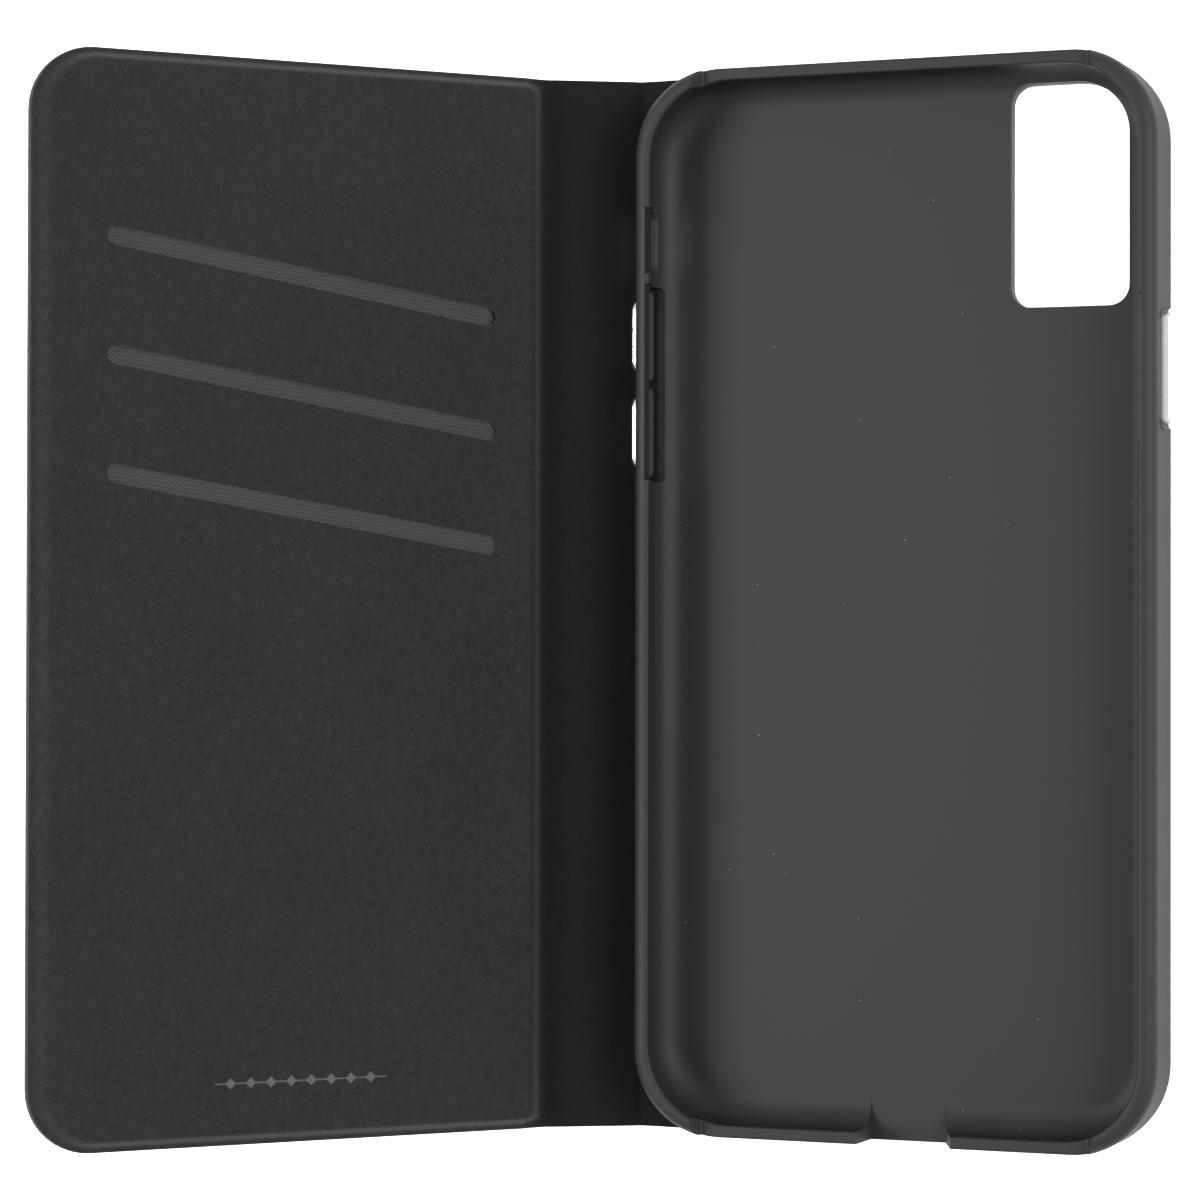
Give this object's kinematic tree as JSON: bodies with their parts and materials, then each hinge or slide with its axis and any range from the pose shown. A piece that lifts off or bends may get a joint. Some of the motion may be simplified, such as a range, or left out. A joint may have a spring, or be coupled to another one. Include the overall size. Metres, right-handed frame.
{
  "type": "phone wallet case",
  "caption": "Folio phone case: hard tray with side rails and metal side buttons, glued to a leather outer with a soft spine and a stiff cover with slanted card slots.",
  "frame": {"origin": "centre of the back panel's outer face, behind the phone tray", "axes": "+X across the phone, away from the spine; +Y towards the phone's top end; +Z out of the tray, towards the phone's screen"},
  "size_m": [0.1415, 0.1472, 0.0628],
  "materials": {
    "tray_shell": "soft-touch matte black, fine grain",
    "outer_leather": "black pebbled leather",
    "spine_lining": "smooth matt black lining",
    "suede_lining": "dark charcoal suede-like nap",
    "woven_sheet": "dark purple-grey woven cloth",
    "button_metal": "polished metal",
    "adhesive_film": "clear adhesive film",
    "stiff_board": "grey board",
    "stiffener_strip": "thin flexible plastic strip"
  },
  "bodies": {
    "back": {"phone_tray": "tray_shell", "tray_adhesive": "adhesive_film", "back_lining": "spine_lining", "back_leather": "outer_leather"},
    "spine": {"spine_leather": "outer_leather", "spine_stiffener": "stiffener_strip", "spine_lining": "spine_lining"},
    "cover": {"cover_leather": "outer_leather", "cover_adhesive": "adhesive_film", "cover_board": "stiff_board", "pocket_back_sheet": "woven_sheet", "pocket_divider_upper": "woven_sheet", "pocket_divider_lower": "woven_sheet", "cover_lining": "suede_lining"},
    "volume_up": {"volume_up_button": "button_metal"},
    "volume_down": {"volume_down_button": "button_metal"},
    "power": {"power_button": "button_metal"}
  },
  "joints": [
    {"name": "spine_fold", "type": "hinge", "parent": "back", "child": "spine", "pos_m": [-0.0393, 0, 0.0006], "axis": [0, 1, 0], "range_deg": [-144.2, 60.8]},
    {"name": "cover_fold", "type": "hinge", "parent": "spine", "child": "cover", "pos_m": [-0.05113, 0, 0.00721], "axis": [0, 1, 0], "range_deg": [-82.5, 72.5]},
    {"name": "volume_up_press", "type": "slide", "parent": "back", "child": "volume_up", "axis": [1, 0, 0], "range_m": [0, 0.0005], "stiffness_N_per_m": 200},
    {"name": "volume_down_press", "type": "slide", "parent": "back", "child": "volume_down", "axis": [1, 0, 0], "range_m": [0, 0.0005], "stiffness_N_per_m": 200},
    {"name": "power_press", "type": "slide", "parent": "back", "child": "power", "axis": [-1, 0, 0], "range_m": [0, 0.0005], "stiffness_N_per_m": 200}
  ]
}
